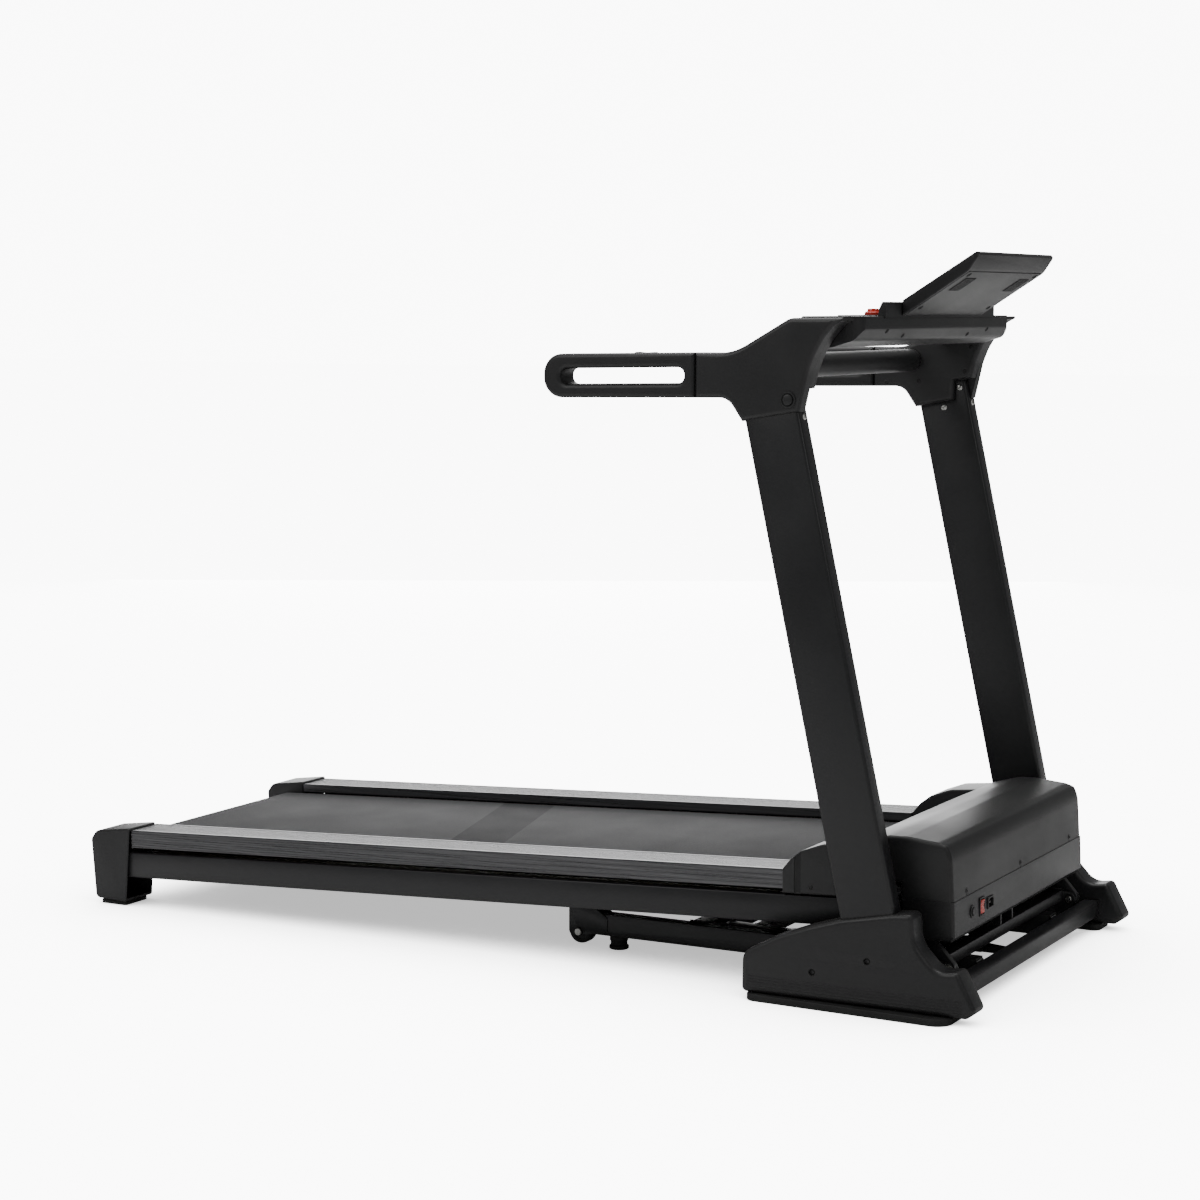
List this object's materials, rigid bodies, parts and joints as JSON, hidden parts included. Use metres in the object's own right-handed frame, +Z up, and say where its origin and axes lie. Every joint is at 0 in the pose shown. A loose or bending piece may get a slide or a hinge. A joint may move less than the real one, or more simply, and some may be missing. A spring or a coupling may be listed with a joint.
{
  "type": "treadmill",
  "caption": "Folding motor treadmill: slatless belt deck between ribbed rails, two leaning uprights, slotted handles, sloped display and a motor hood.",
  "frame": {"origin": "on the floor, under the centre of the whole machine's bounding box", "axes": "+Z up, +X towards the motor hood and display, +Y to the walker's left"},
  "size_m": [1.8369, 0.871, 1.2436],
  "materials": {
    "powder_coat": "satin black powder coat",
    "moulding": "fine-textured black moulding",
    "rail": "dark anodised, ribbed",
    "rubber": "matt black",
    "belt": "dark grey PVC-faced woven belt",
    "steel": "zinc plated",
    "glass": "dark gloss lens",
    "board": "laminated MDF",
    "red_key": "red, gloss"
  },
  "bodies": {
    "base": {"front_cross_tube": "powder_coat", "base_subframe": "powder_coat", "grab_bar": "moulding", "console_lower_shell": "moulding", "console_upper_shell": "moulding", "display_housing": "moulding", "display_glass": "glass", "upright_right": "powder_coat", "upright_left": "powder_coat", "foot_cover_right": "moulding", "foot_cover_left": "moulding", "sole_right": "rubber", "sole_left": "rubber", "base_rubber_foot_right": "rubber", "base_rubber_foot_left": "rubber", "arm_outer_right": "moulding", "arm_outer_left": "moulding", "arm_inner_right": "moulding", "arm_inner_left": "moulding", "handle_right": "moulding", "handle_left": "moulding"},
    "transport_wheel_right": {"transport_wheel_right": "rubber"},
    "transport_wheel_left": {"transport_wheel_left": "rubber"},
    "handle_rocker_right": {"handle_rocker_right": "rubber"},
    "handle_rocker_left": {"handle_rocker_left": "rubber"},
    "stop_key": {"stop_key": "red_key"},
    "safety_key": {"safety_key": "red_key"},
    "incline_cradle": {"incline_cradle": "powder_coat", "fold_pivot_bolt_right": "steel", "fold_pivot_bolt_left": "steel"},
    "lift_arms": {"lift_arms": "powder_coat"},
    "lift_motor": {"lift_motor": "powder_coat"},
    "lift_screw": {"lift_screw": "steel"},
    "strut_cylinder": {"fold_strut_cylinder": "powder_coat"},
    "strut_rod": {"fold_strut_rod": "steel"},
    "deck": {"deck_cross_tube": "powder_coat", "running_board": "board", "running_belt": "belt", "motor_hood": "moulding", "motor_apron": "moulding", "drive_motor": "powder_coat", "motor_controller": "moulding", "power_inlet": "moulding", "drive_belt": "rubber", "deck_beam_right": "powder_coat", "deck_beam_left": "powder_coat", "side_rail_right": "rail", "side_rail_left": "rail", "rear_cap_right": "moulding", "rear_cap_left": "moulding", "front_cap_right": "moulding", "front_cap_left": "moulding", "deck_foot_right": "rubber", "deck_foot_left": "rubber"},
    "front_roller": {"front_roller": "steel"},
    "rear_roller": {"rear_roller": "steel"},
    "motor_pulley": {"motor_pulley": "steel"},
    "power_switch": {"power_switch": "red_key"},
    "breaker_button": {"breaker_button": "moulding"}
  },
  "joints": [
    {"name": "incline_lift", "type": "hinge", "parent": "base", "child": "incline_cradle", "pos_m": [-0.8712, 0, 0], "axis": [0, -1, 0], "range_deg": [0, 3]},
    {"name": "arm_swing", "type": "hinge", "parent": "base", "child": "lift_arms", "pos_m": [0.3568, 0, 0.05], "axis": [0, -1, 0], "range_deg": [-0.5, 12.5]},
    {"name": "deck_fold", "type": "hinge", "parent": "incline_cradle", "child": "deck", "pos_m": [0.8348, 0, 0.0672], "axis": [0, 1, 0], "range_deg": [0, 60]},
    {"name": "strut_swing", "type": "hinge", "parent": "lift_arms", "child": "strut_cylinder", "pos_m": [0.4118, -0.06, 0.084], "axis": [0, -1, 0], "range_deg": [-0.5, 20]},
    {"name": "strut_stroke", "type": "slide", "parent": "strut_cylinder", "child": "strut_rod", "axis": [0.9984, 0, 0.0571], "range_m": [0, 0.125]},
    {"name": "jack_swing", "type": "hinge", "parent": "base", "child": "lift_motor", "pos_m": [0.7738, 0, 0.033], "axis": [0, -1, 0], "range_deg": [-0.5, 4]},
    {"name": "jack_stroke", "type": "slide", "parent": "lift_motor", "child": "lift_screw", "axis": [0, 0, 1], "range_m": [0, 0.095]},
    {"name": "front_roller_spin", "type": "hinge", "parent": "deck", "child": "front_roller", "pos_m": [0.66655, 0, 0.17115], "axis": [0, 1, 0], "continuous": true},
    {"name": "rear_roller_spin", "type": "hinge", "parent": "deck", "child": "rear_roller", "pos_m": [-0.85944, 0, 0.10319], "axis": [0, 1, 0], "continuous": true},
    {"name": "motor_spin", "type": "hinge", "parent": "deck", "child": "motor_pulley", "pos_m": [0.7838, 0, 0.195], "axis": [0, 1, 0], "continuous": true},
    {"name": "wheel_spin_right", "type": "hinge", "parent": "base", "child": "transport_wheel_right", "pos_m": [0.0838, -0.191, 0.0265], "axis": [0, 1, 0], "continuous": true},
    {"name": "wheel_spin_left", "type": "hinge", "parent": "base", "child": "transport_wheel_left", "pos_m": [0.0838, 0.191, 0.0265], "axis": [0, 1, 0], "continuous": true},
    {"name": "speed_rocker", "type": "hinge", "parent": "base", "child": "handle_rocker_right", "pos_m": [0.3068, -0.3868, 1.07], "axis": [0, 1, 0], "range_deg": [-4, 4], "stiffness_Nm_per_rad": 0.3},
    {"name": "incline_rocker", "type": "hinge", "parent": "base", "child": "handle_rocker_left", "pos_m": [0.3068, 0.3868, 1.07], "axis": [0, 1, 0], "range_deg": [-4, 4], "stiffness_Nm_per_rad": 0.3},
    {"name": "stop_press", "type": "slide", "parent": "base", "child": "stop_key", "axis": [0, 0, -1], "range_m": [0, 0.002], "stiffness_N_per_m": 800},
    {"name": "safety_pull", "type": "slide", "parent": "base", "child": "safety_key", "axis": [0, 0, 1], "range_m": [0, 0.04]},
    {"name": "switch_rock", "type": "hinge", "parent": "deck", "child": "power_switch", "pos_m": [0.8448, -0.1998, 0.152], "axis": [0, 1, 0], "range_deg": [-10, 10]},
    {"name": "breaker_press", "type": "slide", "parent": "deck", "child": "breaker_button", "axis": [-1, 0, 0], "range_m": [0, 0.002], "stiffness_N_per_m": 600}
  ],
  "couplings": [
    {"joint": "arm_swing", "follows": "incline_lift", "ratio": 3.8751},
    {"joint": "strut_swing", "follows": "deck_fold", "ratio": 0.2455},
    {"joint": "strut_stroke", "follows": "deck_fold", "m_per_rad": 0.11364},
    {"joint": "jack_swing", "follows": "incline_lift", "ratio": 0.9586},
    {"joint": "jack_stroke", "follows": "incline_lift", "m_per_rad": 1.6451},
    {"joint": "rear_roller_spin", "follows": "front_roller_spin", "ratio": 1},
    {"joint": "motor_spin", "follows": "front_roller_spin", "ratio": 1.5294}
  ]
}
